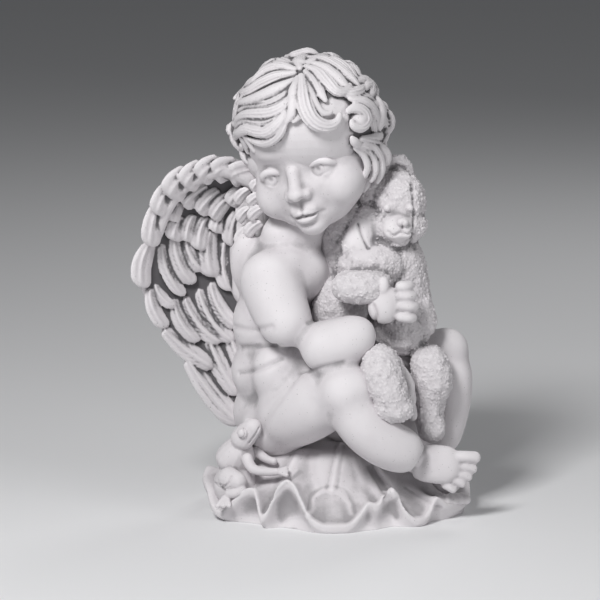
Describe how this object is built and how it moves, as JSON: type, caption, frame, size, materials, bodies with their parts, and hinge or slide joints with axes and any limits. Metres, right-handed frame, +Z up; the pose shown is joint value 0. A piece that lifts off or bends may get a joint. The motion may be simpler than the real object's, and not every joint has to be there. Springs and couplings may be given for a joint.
{
  "type": "angel figurine",
  "caption": "Cast figurine of a seated winged child that hugs a plush toy, on a ruffled leaf base with a small frog beside it.",
  "frame": {"origin": "middle of the base's flat underside, on the ground", "axes": "+Z up, -Y towards the front of the figurine, +X to the right of whoever looks at its front"},
  "size_m": [0.2106, 0.1605, 0.2797],
  "materials": {
    "cast_stone": "matt, lightly weathered"
  },
  "bodies": {
    "root": {"angel_figurine": "cast_stone"}
  },
  "joints": []
}
